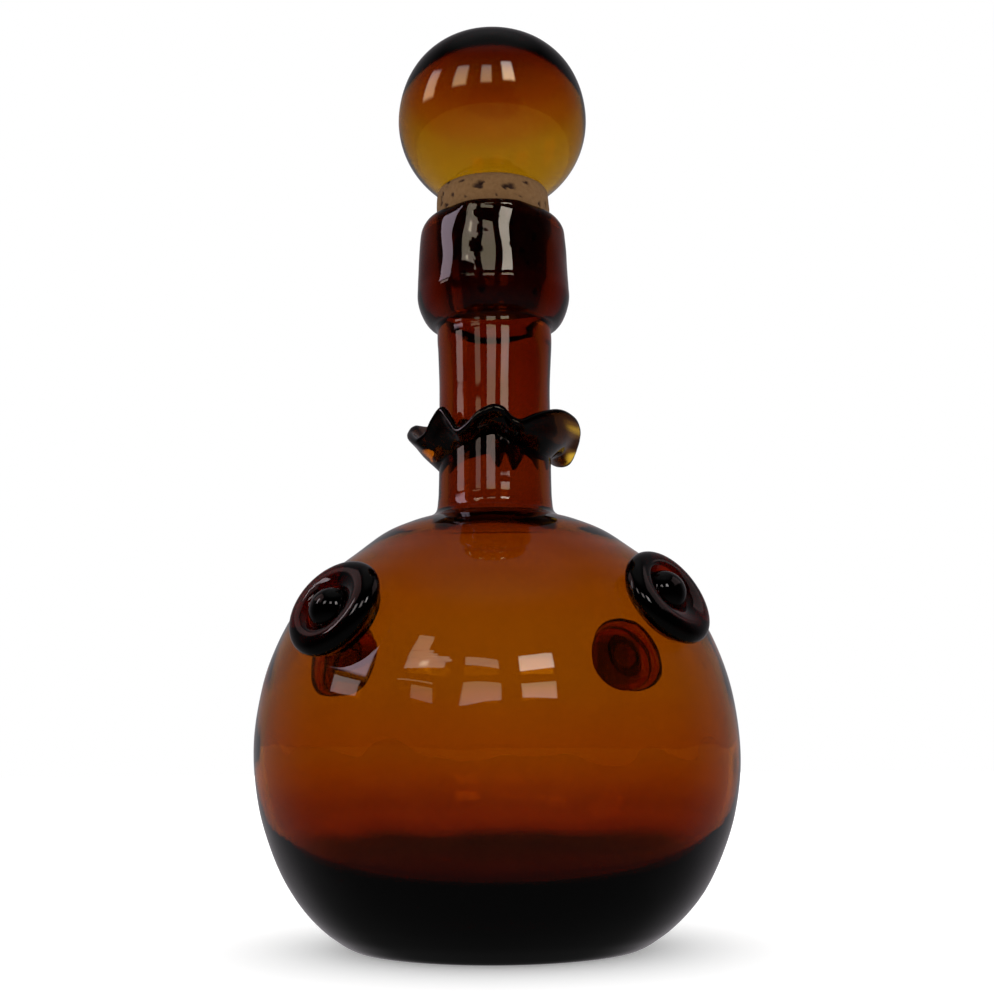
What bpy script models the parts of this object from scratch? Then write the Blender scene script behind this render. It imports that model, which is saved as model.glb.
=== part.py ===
"""Hand-blown glass decanter with a wavy neck collar, button prunts and a
ball-topped cork stopper.

Units are metres, +Z up. The origin is the centre of the ring the decanter
stands on. -Y is the side that faces the viewer.
"""
import math

import bmesh
import bpy
import numpy as np
from mathutils import Matrix, Vector

MM = 0.001

# ------------------------------------------------------------ driving sizes
BODY_R = 65.0            # widest radius of the bulb
BODY_WIDEST_Z = 50.5     # height of the widest ring
REST_RING_OUT = 38.9     # flat ring the decanter stands on
REST_RING_IN = 24.0
PUNT_DEPTH = 3.0         # shallow hollow under the base
FLOOR_Z = 11.0           # inside floor at the axis: a heavy base
NECK_R = 15.5            # neck outside, at its waist
MOUTH_R = 21.55          # cup-shaped mouth, outside
LIP_Z = 201.6
CORK_TOP_R = 16.1
CORK_LIP_R = 16.0        # cork radius at the lip
CORK_LOW_R = 14.0
CORK_LOW_Z = 174.0
CORK_TOP_Z = 210.8
CORK_SEAT_R = 15.3       # where the ball meets the cork
BALL_R = 27.56           # ball, horizontal radius
BALL_H = 26.42           # ball, vertical radius
BALL_Z = 232.76
BALL_WALL = 1.1          # ball wall at its sides
BALL_CROWN = 4.0         # and at its top, where the glass gathered
STEM_R = 6.0             # glass stem of the ball, glued in the cork
STEM_BORE_R = 3.8
STEM_LOW_Z = 192.0
PRUNT_R = 13.0           # button prunts
GAP = 0.32               # clearance between neighbouring solids

# azimuth in degrees from -Y towards +X, height of the centre, rim lift
PRUNTS = {
    "prunt_front_left": (-40.0, 83.2, 4.2),
    "prunt_front_right": (47.8, 86.4, 3.5),
    "prunt_back_right": (138.0, 79.4, 3.9),
    "prunt_back_left": (-130.0, 78.0, 3.9),
}

STEPS = 40               # facets round the turned pieces

# outer outline of the bulb, neck and cup mouth: (radius, height) stations
OUTLINE = [
    (REST_RING_OUT, 0.0), (40.4, 0.7), (43.0, 2.4), (46.5, 5.1),
    (52.9, 12.0), (57.9, 20.2), (62.1, 31.0), (64.4, 41.5),
    (BODY_R, BODY_WIDEST_Z), (64.2, 61.0), (61.5, 73.0), (56.3, 85.0),
    (50.6, 93.0), (44.5, 99.0), (38.1, 104.0), (30.95, 109.0),
    (24.2, 112.1), (18.3, 114.3), (16.4, 116.0), (15.8, 119.2),
    (15.6, 124.0), (NECK_R, 140.0), (15.45, 152.0), (15.7, 159.0),
    (15.9, 165.0), (16.1, 170.2), (17.5, 170.6), (19.2, 172.1),
    (20.7, 174.8), (21.5, 178.0), (MOUTH_R, 181.0), (21.1, 188.5),
    (20.75, 194.5), (20.4, 197.8), (19.3, 200.0), (17.9, 201.2),
    (16.9, LIP_Z),
]

# floor of the inside: (radius, height) stations
FLOOR = [(0.0, FLOOR_Z), (20.0, 11.4), (36.0, 12.9), (46.0, 16.3)]
# wall of the bulb and neck: heavy towards the base, thin round the bulb,
# even up the neck: (height, thickness)
WALL = [(20.0, 5.6), (30.0, 3.2), (42.0, 2.4), (60.0, 2.1), (90.0, 2.4),
        (112.0, 2.8), (126.0, 3.0), (166.0, 3.3)]
WALL_Z = [20, 30, 41, 50.5, 61, 72, 82, 90, 97, 103, 107.5, 111, 113.6,
          116.4, 120, 127, 138, 150, 160]

# wavy collar: azimuth, radius and height of its free edge, height of its
# root, half its thickness at the edge
RUFFLE = [
    (-92, 24.6, 138.9, 130.6, 1.15), (-72, 22.7, 135.7, 132.0, 1.25),
    (-64, 21.5, 136.9, 132.6, 1.35), (-56, 20.9, 140.3, 133.2, 1.4),
    (-46, 20.7, 142.6, 134.0, 1.4), (-37, 20.6, 139.2, 134.8, 1.5),
    (-29, 20.9, 136.0, 135.4, 1.5), (-22, 21.1, 136.8, 136.0, 1.4),
    (-12.4, 21.1, 140.0, 136.9, 1.35), (-1, 21.1, 141.7, 137.4, 1.3),
    (6.6, 20.8, 141.2, 136.8, 1.35), (14, 20.5, 138.7, 135.8, 1.5),
    (20, 20.7, 137.8, 135.2, 1.5), (32, 20.9, 139.6, 134.6, 1.4),
    (46, 21.3, 141.4, 133.8, 1.35), (59, 22.2, 142.3, 133.3, 1.2),
    (76, 23.5, 141.5, 133.2, 0.95), (90, 24.3, 139.4, 133.6, 0.8),
    (102, 24.2, 136.0, 134.2, 0.8), (114, 23.6, 132.6, 135.0, 0.95),
    (126, 22.3, 133.6, 136.4, 1.2), (138, 21.4, 139.0, 138.0, 1.3),
    (150, 22.2, 136.0, 138.6, 1.5), (160, 22.8, 133.6, 138.6, 1.5),
    (169, 21.4, 138.6, 139.0, 1.4), (178, 22.6, 134.8, 138.8, 1.5),
    (187, 22.2, 138.0, 138.6, 1.4), (200, 21.2, 144.4, 138.2, 1.3),
    (216, 21.4, 146.0, 136.8, 1.3), (230, 22.2, 143.6, 134.8, 1.3),
    (244, 23.4, 142.6, 132.4, 1.2), (256, 24.3, 142.0, 131.0, 1.1),
]

# ------------------------------------------------------------------- scene
for ob in list(bpy.data.objects):
    bpy.data.objects.remove(ob, do_unlink=True)
parts = bpy.data.collections.new("glass_decanter")
cutters = bpy.data.collections.new("cutters")
bpy.context.scene.collection.children.link(parts)
bpy.context.scene.collection.children.link(cutters)
root = bpy.data.objects.new("decanter_root", None)
parts.objects.link(root)
stopper_root = bpy.data.objects.new("stopper_lift_axis", None)
stopper_root.location = (0.0, 0.0, LIP_Z * MM)
stopper_root.parent = root
parts.objects.link(stopper_root)


# -------------------------------------------------------------- materials
def glass(name, colour, roughness=0.04):
    mat = bpy.data.materials.new(name)
    mat.use_nodes = True
    bsdf = mat.node_tree.nodes["Principled BSDF"]
    bsdf.inputs["Base Color"].default_value = (*colour, 1.0)
    bsdf.inputs["Roughness"].default_value = roughness
    bsdf.inputs["Metallic"].default_value = 0.0
    bsdf.inputs["IOR"].default_value = 1.5
    bsdf.inputs["Transmission Weight"].default_value = 0.9
    mat.diffuse_color = (*colour, 1.0)
    return mat


def solid(name, colour, roughness):
    mat = bpy.data.materials.new(name)
    mat.use_nodes = True
    bsdf = mat.node_tree.nodes["Principled BSDF"]
    bsdf.inputs["Base Color"].default_value = (*colour, 1.0)
    bsdf.inputs["Roughness"].default_value = roughness
    bsdf.inputs["Metallic"].default_value = 0.0
    mat.diffuse_color = (*colour, 1.0)
    return mat


# ------------------------------------------------------------ curve helpers
def smooth_line(stations, step=0.6):
    """Centripetal Catmull-Rom curve through the stations."""
    pts = [np.array(p, dtype=float) for p in stations]
    pts = [2 * pts[0] - pts[1]] + pts + [2 * pts[-1] - pts[-2]]
    out = []
    for i in range(1, len(pts) - 2):
        p0, p1, p2, p3 = pts[i - 1:i + 3]
        t1 = np.linalg.norm(p1 - p0) ** 0.5
        t2 = t1 + np.linalg.norm(p2 - p1) ** 0.5
        t3 = t2 + np.linalg.norm(p3 - p2) ** 0.5
        n = max(2, int(math.ceil(np.linalg.norm(p2 - p1) / step)))
        for k in range(n):
            t = t1 + (t2 - t1) * k / n
            a1 = (t1 - t) / t1 * p0 + t / t1 * p1
            a2 = (t2 - t) / (t2 - t1) * p1 + (t - t1) / (t2 - t1) * p2
            a3 = (t3 - t) / (t3 - t2) * p2 + (t - t2) / (t3 - t2) * p3
            b1 = (t2 - t) / t2 * a1 + t / t2 * a2
            b2 = (t3 - t) / (t3 - t1) * a2 + (t - t1) / (t3 - t1) * a3
            out.append((t2 - t) / (t2 - t1) * b1 + (t - t1) / (t2 - t1) * b2)
    out.append(pts[-2])
    return [tuple(p) for p in out]


def thin_out(line, tol):
    """Keep only the points that the shape needs, within tol."""
    if len(line) < 3:
        return list(line)
    a, b = np.array(line[0]), np.array(line[-1])
    ab = b - a
    length = max(np.linalg.norm(ab), 1e-9)
    best, where = 0.0, 0
    for i in range(1, len(line) - 1):
        p = np.array(line[i]) - a
        d = abs(ab[0] * p[1] - ab[1] * p[0]) / length
        if d > best:
            best, where = d, i
    if best <= tol:
        return [line[0], line[-1]]
    return thin_out(line[:where + 1], tol)[:-1] + thin_out(line[where:], tol)


def arc(cx, cz, rx, rz, start, end, n):
    """Points of an ellipse arc; angles in degrees from +X towards +Z."""
    out = []
    for k in range(n + 1):
        a = math.radians(start + (end - start) * k / n)
        out.append((cx + rx * math.cos(a), cz + rz * math.sin(a)))
    return out


def turned(name, profile, mat, collection=parts, steps=STEPS):
    """Closed turned solid from a profile that runs down its outer side."""
    mesh = bpy.data.meshes.new(name)
    verts = [(r * MM, 0.0, z * MM) for r, z in profile]
    edges = [(i, i + 1) for i in range(len(verts) - 1)]
    mesh.from_pydata(verts, edges, [])
    mesh.update()
    ob = bpy.data.objects.new(name, mesh)
    collection.objects.link(ob)
    screw = ob.modifiers.new("turn", "SCREW")
    screw.angle = 2 * math.pi
    screw.steps = steps
    screw.render_steps = steps
    screw.axis = "Z"
    screw.use_merge_vertices = True
    screw.merge_threshold = 0.00001
    screw.use_smooth_shade = True
    if mat is not None:
        mesh.materials.append(mat)
    return ob


# ----------------------------------------------------------------- bottle
def inside_at(z):
    """Point of the inner skin opposite the outline's point at z."""
    line = [np.array(p) for p in smooth_line(OUTLINE, 0.4) if p[1] < 168.5]
    k = min(range(len(line)), key=lambda i: abs(line[i][1] - z))
    d = line[min(k + 3, len(line) - 1)] - line[max(k - 3, 0)]
    d /= np.linalg.norm(d)
    t = float(np.interp(z, [w[0] for w in WALL], [w[1] for w in WALL]))
    return (line[k][0] - d[1] * t, line[k][1] + d[0] * t)


outer = thin_out(smooth_line(OUTLINE), 0.22)
inner = thin_out(smooth_line(FLOOR + [inside_at(z) for z in WALL_Z]
                             + [(12.85, 168.0)]), 0.25)
mouth = [(CORK_LOW_R + GAP, CORK_LOW_Z), (CORK_LIP_R + GAP, LIP_Z - 0.6)]
punt = [(0.0, PUNT_DEPTH), (7.0, 2.75), (13.5, 2.0), (19.0, 1.05),
        (REST_RING_IN, 0.0)]
bottle_profile = inner + mouth + outer[::-1] + punt[::-1]
amber = glass("amber_glass", (0.42, 0.13, 0.01))
bottle = turned("bottle", bottle_profile, amber)
bottle.parent = root

# ----------------------------------------------------- cork and ball stopper
# cork: tapered plug, cup on top for the ball, blind bore for its glass stem
cup_drop = 0.9
cork_profile = [
    (0.0, STEM_LOW_Z - 3.0),
    (STEM_R + GAP, STEM_LOW_Z - 3.0),
    (STEM_R + GAP, 205.2),
    (9.0, 206.25), (12.4, 208.0),
    (CORK_SEAT_R - 0.25, CORK_TOP_Z - cup_drop * 0.55),
    (CORK_SEAT_R + 0.1, CORK_TOP_Z - 0.1),
    (CORK_TOP_R - 0.25, CORK_TOP_Z - 0.35),
    (CORK_TOP_R, CORK_TOP_Z - 1.0),
    (CORK_LIP_R, LIP_Z),
    (CORK_LOW_R + 0.05, CORK_LOW_Z + 0.9),
    (CORK_LOW_R - 0.75, CORK_LOW_Z),
    (0.0, CORK_LOW_Z),
]
cork_mat = solid("cork", (0.42, 0.25, 0.11), 0.85)
cork = turned("stopper_cork", cork_profile, cork_mat, steps=40)
cork.parent = stopper_root
cork.matrix_parent_inverse = Matrix.Translation((0, 0, -LIP_Z * MM))

# ball: hollow blown bulb whose open stem goes down into the cork
stem_join = math.degrees(math.asin(-math.sqrt(1 - (STEM_R / BALL_R) ** 2)))
ball_out = arc(0.0, BALL_Z, BALL_R, BALL_H, 90.0, stem_join, 14)
bore_r = STEM_BORE_R
in_r = BALL_R - BALL_WALL
bore_join = math.degrees(math.asin(-math.sqrt(1 - (bore_r / in_r) ** 2)))
ball_in = []
for k in range(13):
    deg = 90.0 + (bore_join - 90.0) * k / 12
    t = min(max((deg - 8.0) / 76.0, 0.0), 1.0)
    wall = BALL_WALL + (BALL_CROWN - BALL_WALL) * t * t * (3 - 2 * t)
    ball_in.append(((BALL_R - wall) * math.cos(math.radians(deg)),
                    BALL_Z + (BALL_H - wall) * math.sin(math.radians(deg))))
ball_profile = (ball_out + [(STEM_R, STEM_LOW_Z), (bore_r, STEM_LOW_Z)]
                + ball_in[::-1])
ball_mat = glass("honey_glass", (0.62, 0.30, 0.03))
ball = turned("stopper_ball", ball_profile, ball_mat, steps=40)
ball.parent = stopper_root
ball.matrix_parent_inverse = Matrix.Translation((0, 0, -LIP_Z * MM))

# --------------------------------------------------------- button prunts
# the cutter is the bulb grown by the gap, so each prunt sits on the bulb
fine = smooth_line(OUTLINE)
grown = []
for i, (r, z) in enumerate(fine):
    if z > 113.0:
        break
    a = np.array(fine[max(i - 1, 0)])
    b = np.array(fine[i + 1])
    d = (b - a) / np.linalg.norm(b - a)
    grown.append((r + d[1] * GAP, z - d[0] * GAP))
grown = thin_out(grown, 0.12)
skin_profile = ([(0.0, grown[-1][1])] + grown[::-1]
                + [(0.0, grown[0][1])])
skin = turned("bulb_clearance", skin_profile, None, collection=cutters,
              steps=STEPS)
skin.hide_render = True
skin.display_type = "WIRE"
skin.hide_viewport = False


def wall_at(z):
    """Radius and outward normal (radial, vertical) of the bulb at z."""
    zs = [p[1] for p in fine if p[1] < 113.0]
    rs = [p[0] for p in fine if p[1] < 113.0]
    r = float(np.interp(z, zs, rs))
    slope = float(np.interp(z + 0.5, zs, rs) - np.interp(z - 0.5, zs, rs))
    n = np.array([1.0, -slope])
    n /= np.linalg.norm(n)
    return r, n


def prunt(name, azimuth, height, lift):
    """Stamped glass button: fat rim, groove and domed centre."""
    rim_t = 3.2
    rim_u = PRUNT_R - rim_t
    dome_r = 5.9
    profile = [(0.0, lift + dome_r - 0.4)]
    profile += arc(0.0, lift - 0.4, dome_r, dome_r, 72.0, 12.0, 4)
    profile += [(6.32, lift + 0.02)]
    profile += arc(rim_u, lift, rim_t, rim_t, 160.0, -50.0, 9)
    profile += [(PRUNT_R - 1.6, lift - 4.2), (PRUNT_R - 1.7, -5.0),
                (0.0, -5.0)]
    ob = turned(name, profile, amber_dark, steps=24)
    r, n = wall_at(height)
    az = math.radians(azimuth)
    out = Vector((math.sin(az), -math.cos(az), 0.0))
    normal = (out * n[0] + Vector((0, 0, 1)) * n[1]).normalized()
    side = Vector((math.cos(az), math.sin(az), 0.0))
    up = normal.cross(side)
    place = Matrix((
        (side.x, up.x, normal.x, out.x * r * MM),
        (side.y, up.y, normal.y, out.y * r * MM),
        (side.z, up.z, normal.z, height * MM),
        (0, 0, 0, 1)))
    ob.matrix_world = place
    cut = ob.modifiers.new("sit_on_bulb", "BOOLEAN")
    cut.operation = "DIFFERENCE"
    cut.solver = "EXACT"
    cut.object = skin
    return ob


amber_dark = glass("amber_glass_thick", (0.20, 0.04, 0.01))
bpy.context.view_layer.update()
for prunt_name, (azimuth, height, lift) in PRUNTS.items():
    prunt(prunt_name, azimuth, height, lift).parent = root

# ------------------------------------------------------------ wavy collar
# a trail of hot glass laid round the neck and pinched outwards into waves:
# a loft of unlike sections, thick at the neck and thin at the free edge
count = 112
ring = [np.array([r * math.sin(math.radians(a)),
                  -r * math.cos(math.radians(a)), z, root_z, half])
        for a, r, z, root_z, half in RUFFLE]


def closed_curve(points, n):
    """Closed centripetal Catmull-Rom curve, n points evenly along it."""
    m = len(points)
    dense = []
    for i in range(m):
        p0, p1, p2, p3 = (points[(i + k - 1) % m] for k in range(4))
        t1 = np.linalg.norm(p1 - p0) ** 0.5
        t2 = t1 + np.linalg.norm(p2 - p1) ** 0.5
        t3 = t2 + np.linalg.norm(p3 - p2) ** 0.5
        for k in range(12):
            t = t1 + (t2 - t1) * k / 12
            a1 = (t1 - t) / t1 * p0 + t / t1 * p1
            a2 = (t2 - t) / (t2 - t1) * p1 + (t - t1) / (t2 - t1) * p2
            a3 = (t3 - t) / (t3 - t2) * p2 + (t - t2) / (t3 - t2) * p3
            b1 = (t2 - t) / t2 * a1 + t / t2 * a2
            b2 = (t3 - t) / (t3 - t1) * a2 + (t - t1) / (t3 - t1) * a3
            dense.append((t2 - t) / (t2 - t1) * b1
                         + (t - t1) / (t2 - t1) * b2)
    dense = np.array(dense + [dense[0]])
    run = np.concatenate([[0.0], np.cumsum(
        np.linalg.norm(np.diff(dense[:, :3], axis=0), axis=1))])
    at = np.linspace(0.0, run[-1], n, endpoint=False)
    return np.stack([np.interp(at, run, dense[:, k])
                     for k in range(dense.shape[1])], 1)


edge = closed_curve(ring, count)
root_r = 15.62 + GAP
bm = bmesh.new()
loops = []
for p in edge:
    az = math.atan2(p[0], -p[1])
    out = np.array([math.sin(az), -math.cos(az)])
    tip_r = math.hypot(p[0], p[1])
    root_z, half = p[3], p[4]
    # section in the (radius, height) plane: root -> tip
    a = np.array([root_r, root_z])
    b = np.array([tip_r - half * 0.8, p[2] - half * 0.4])
    d = (b - a) / np.linalg.norm(b - a)
    nrm = np.array([-d[1], d[0]])          # upper / inner face side
    sec = [
        np.array([root_r, root_z - 2.7]),
        a + (b - a) * 0.35 - nrm * (half + 0.6),
        b - nrm * half,
        b + d * half,
        b + nrm * half,
        a + (b - a) * 0.45 + nrm * (half + 0.3),
        np.array([root_r, root_z + 2.8]),
    ]
    for k in (1, 5):
        sec[k][0] = max(sec[k][0], root_r + 0.5)
    loops.append([bm.verts.new((out[0] * r * MM, out[1] * r * MM, z * MM))
                  for r, z in sec])
for i in range(count):
    a, b = loops[i], loops[(i + 1) % count]
    for k in range(len(a)):
        j = (k + 1) % len(a)
        bm.faces.new((a[k], b[k], b[j], a[j]))
bmesh.ops.recalc_face_normals(bm, faces=bm.faces[:])
mesh = bpy.data.meshes.new("ruffle_collar")
bm.to_mesh(mesh)
bm.free()
mesh.materials.append(amber_dark)
mesh.shade_smooth()
ruffle = bpy.data.objects.new("ruffle_collar", mesh)
parts.objects.link(ruffle)
ruffle.parent = root
bpy.context.view_layer.update()
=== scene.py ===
import math

import bmesh
import bpy
import numpy as np
from mathutils import Matrix, Vector


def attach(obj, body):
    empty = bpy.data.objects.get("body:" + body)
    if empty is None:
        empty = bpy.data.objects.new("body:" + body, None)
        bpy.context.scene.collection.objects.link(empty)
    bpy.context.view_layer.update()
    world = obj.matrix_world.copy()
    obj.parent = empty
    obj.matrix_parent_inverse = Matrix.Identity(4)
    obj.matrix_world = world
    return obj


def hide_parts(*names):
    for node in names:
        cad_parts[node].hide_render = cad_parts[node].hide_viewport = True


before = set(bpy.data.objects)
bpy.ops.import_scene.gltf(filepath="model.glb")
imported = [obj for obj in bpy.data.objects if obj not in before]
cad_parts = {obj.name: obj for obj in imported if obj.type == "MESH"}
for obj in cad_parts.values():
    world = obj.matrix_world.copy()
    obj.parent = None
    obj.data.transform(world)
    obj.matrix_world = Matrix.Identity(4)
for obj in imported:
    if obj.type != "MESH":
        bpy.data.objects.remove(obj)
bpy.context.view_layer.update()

MM = 0.001
scene = bpy.context.scene
scene.view_settings.view_transform = "Standard"
scene.view_settings.look = "None"
scene.cycles.max_bounces = 32
scene.cycles.transmission_bounces = 20
scene.cycles.glossy_bounces = 20
scene.cycles.diffuse_bounces = 3
scene.cycles.caustics_reflective = False


# ------------------------------------------------------------------ camera
# low in front of the bulb, tipped up at the neck and the ball
def look_from(distance, height, pitch, yaw, roll):
    cam = bpy.data.cameras.new("camera")
    cam.sensor_fit = "VERTICAL"
    cam.sensor_height = 36.0
    cam.lens = 1404.0 * 36.0 / 995.0
    cam.clip_start = 0.01
    ob = bpy.data.objects.new("camera", cam)
    scene.collection.objects.link(ob)
    turn = (Matrix.Rotation(math.radians(yaw), 4, "Z")
            @ Matrix.Rotation(math.radians(90.0 + pitch), 4, "X")
            @ Matrix.Rotation(math.radians(roll), 4, "Z"))
    ob.matrix_world = Matrix.Translation((0.0, -distance, height)) @ turn
    scene.camera = ob


look_from(0.388, 0.05013, 10.27, -0.0898, -0.402)


# ------------------------------------------------------------ curve helpers
def smooth_line(stations, step=0.8):
    """Centripetal Catmull-Rom curve through (r, z) stations in mm."""
    pts = [np.array(p, dtype=float) for p in stations]
    pts = [2 * pts[0] - pts[1]] + pts + [2 * pts[-1] - pts[-2]]
    out = []
    for i in range(1, len(pts) - 2):
        p0, p1, p2, p3 = pts[i - 1:i + 3]
        t1 = np.linalg.norm(p1 - p0) ** 0.5
        t2 = t1 + np.linalg.norm(p2 - p1) ** 0.5
        t3 = t2 + np.linalg.norm(p3 - p2) ** 0.5
        n = max(2, int(math.ceil(np.linalg.norm(p2 - p1) / step)))
        for k in range(n):
            t = t1 + (t2 - t1) * k / n
            a1 = (t1 - t) / t1 * p0 + t / t1 * p1
            a2 = (t2 - t) / (t2 - t1) * p1 + (t - t1) / (t2 - t1) * p2
            a3 = (t3 - t) / (t3 - t2) * p2 + (t - t2) / (t3 - t2) * p3
            b1 = (t2 - t) / t2 * a1 + t / t2 * a2
            b2 = (t3 - t) / (t3 - t1) * a2 + (t - t1) / (t3 - t1) * a3
            out.append((t2 - t) / (t2 - t1) * b1 + (t - t1) / (t2 - t1) * b2)
    out.append(pts[-2])
    return np.array(out)


def arc(cx, cz, rx, rz, start, end, n):
    a = np.radians(np.linspace(start, end, n + 1))
    return np.stack([cx + rx * np.cos(a), cz + rz * np.sin(a)], 1)


def waves(seed, count, turns, pitch):
    """Smooth hand-made unevenness: a sum of waves in azimuth and height.
    turns is the most waves round the piece, pitch the least wave length
    along it in mm. The result is near -1..1."""
    rng = np.random.default_rng(seed)
    m = rng.integers(1, turns + 1, count)
    k = rng.uniform(-1.0, 1.0, count) * 2 * math.pi / pitch
    ph = rng.uniform(0, 2 * math.pi, count)
    w = rng.uniform(0.5, 1.0, count)
    w /= np.sqrt((w ** 2).sum() / 2) * 2.0

    def at(az, z):
        return sum(w[i] * np.cos(m[i] * az + k[i] * z + ph[i])
                   for i in range(count))
    return at


def smooth_step(x, a, b):
    t = np.clip((np.asarray(x, float) - a) / (b - a), 0.0, 1.0)
    return t * t * (3 - 2 * t)


def mesh_object(name, verts, faces, mat, smooth=True):
    me = bpy.data.meshes.new(name)
    me.from_pydata([tuple(v) for v in verts], [], faces)
    me.update()
    bm = bmesh.new()
    bm.from_mesh(me)
    bmesh.ops.recalc_face_normals(bm, faces=bm.faces[:])
    bm.to_mesh(me)
    bm.free()
    if smooth:
        me.shade_smooth()
    me.materials.append(mat)
    ob = bpy.data.objects.new(name, me)
    scene.collection.objects.link(ob)
    return ob


def turned(name, profile, seg, mat, uneven=None):
    """Turned closed mesh. profile runs from the axis back to the axis in
    mm. uneven(az, s, r, z) gives (radial, vertical) shifts in mm, where s
    counts the profile's points."""
    prof = np.asarray(profile, float)
    n = len(prof)
    az = np.linspace(0, 2 * math.pi, seg, endpoint=False)
    first, last = prof[0, 0] < 1e-6, prof[-1, 0] < 1e-6
    ring = list(range(1 if first else 0, n - 1 if last else n))
    verts, base = [], {}
    A, S = np.meshgrid(az, np.array(ring), indexing="ij")
    R = np.tile(prof[ring, 0], (seg, 1))
    Z = np.tile(prof[ring, 1], (seg, 1))
    if uneven is not None:
        dr, dz = uneven(A, S, R, Z)
        R = R + dr
        Z = Z + dz
    X, Y = R * np.sin(A), -R * np.cos(A)
    grid = np.stack([X, Y, Z], -1) * MM
    m = len(ring)
    verts = grid.reshape(-1, 3).tolist()
    faces = []
    for i in range(seg):
        j = (i + 1) % seg
        for k in range(m - 1):
            faces.append((i * m + k, j * m + k, j * m + k + 1, i * m + k + 1))
    if first:
        top = len(verts)
        verts.append((0.0, 0.0, prof[0, 1] * MM))
        faces += [(top, ((i + 1) % seg) * m, i * m) for i in range(seg)]
    if last:
        end = len(verts)
        verts.append((0.0, 0.0, prof[-1, 1] * MM))
        faces += [(end, i * m + m - 1, ((i + 1) % seg) * m + m - 1)
                  for i in range(seg)]
    return mesh_object(name, verts, faces, mat)


# --------------------------------------------------------------- materials
class Nodes:
    def __init__(self, name):
        self.mat = bpy.data.materials.new(name)
        self.mat.use_nodes = True
        self.tree = self.mat.node_tree
        self.bsdf = self.tree.nodes["Principled BSDF"]
        self.out = self.tree.nodes["Material Output"]

    def new(self, kind, **values):
        node = self.tree.nodes.new(kind)
        for key, value in values.items():
            setattr(node, key, value)
        return node

    def link(self, a, b):
        self.tree.links.new(a, b)

    def set(self, **values):
        for key, value in values.items():
            self.bsdf.inputs[key.replace("_", " ")].default_value = value

    def height(self):
        coord = self.new("ShaderNodeTexCoord")
        split = self.new("ShaderNodeSeparateXYZ")
        self.link(coord.outputs["Object"], split.inputs[0])
        return coord.outputs["Object"], split.outputs["Z"]


def ramp(n, value, stops, low, high):
    """Colour ramp over a value between low and high; stops in value."""
    rng = n.new("ShaderNodeMapRange")
    rng.inputs["From Min"].default_value = low
    rng.inputs["From Max"].default_value = high
    n.link(value, rng.inputs["Value"])
    node = n.new("ShaderNodeValToRGB")
    node.color_ramp.interpolation = "EASE"
    els = node.color_ramp.elements
    while len(els) > 1:
        els.remove(els[-1])
    for i, (at, colour) in enumerate(stops):
        pos = (at - low) / (high - low)
        el = els[0] if i == 0 else els.new(pos)
        el.position = pos
        el.color = (*colour, 1.0)
    n.link(rng.outputs["Result"], node.inputs["Fac"])
    return node.outputs["Color"]


def window_mask(n, value, a, b, c, d):
    """1 between b and c, falling to 0 at a and at d."""
    parts = []
    for start, end in ((a, b), (d, c)):
        node = n.new("ShaderNodeMapRange", interpolation_type="SMOOTHSTEP")
        node.inputs["From Min"].default_value = start
        node.inputs["From Max"].default_value = end
        n.link(value, node.inputs["Value"])
        parts.append(node.outputs["Result"])
    both = n.new("ShaderNodeMath", operation="MULTIPLY")
    n.link(parts[0], both.inputs[0])
    n.link(parts[1], both.inputs[1])
    return both.outputs[0]


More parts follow.
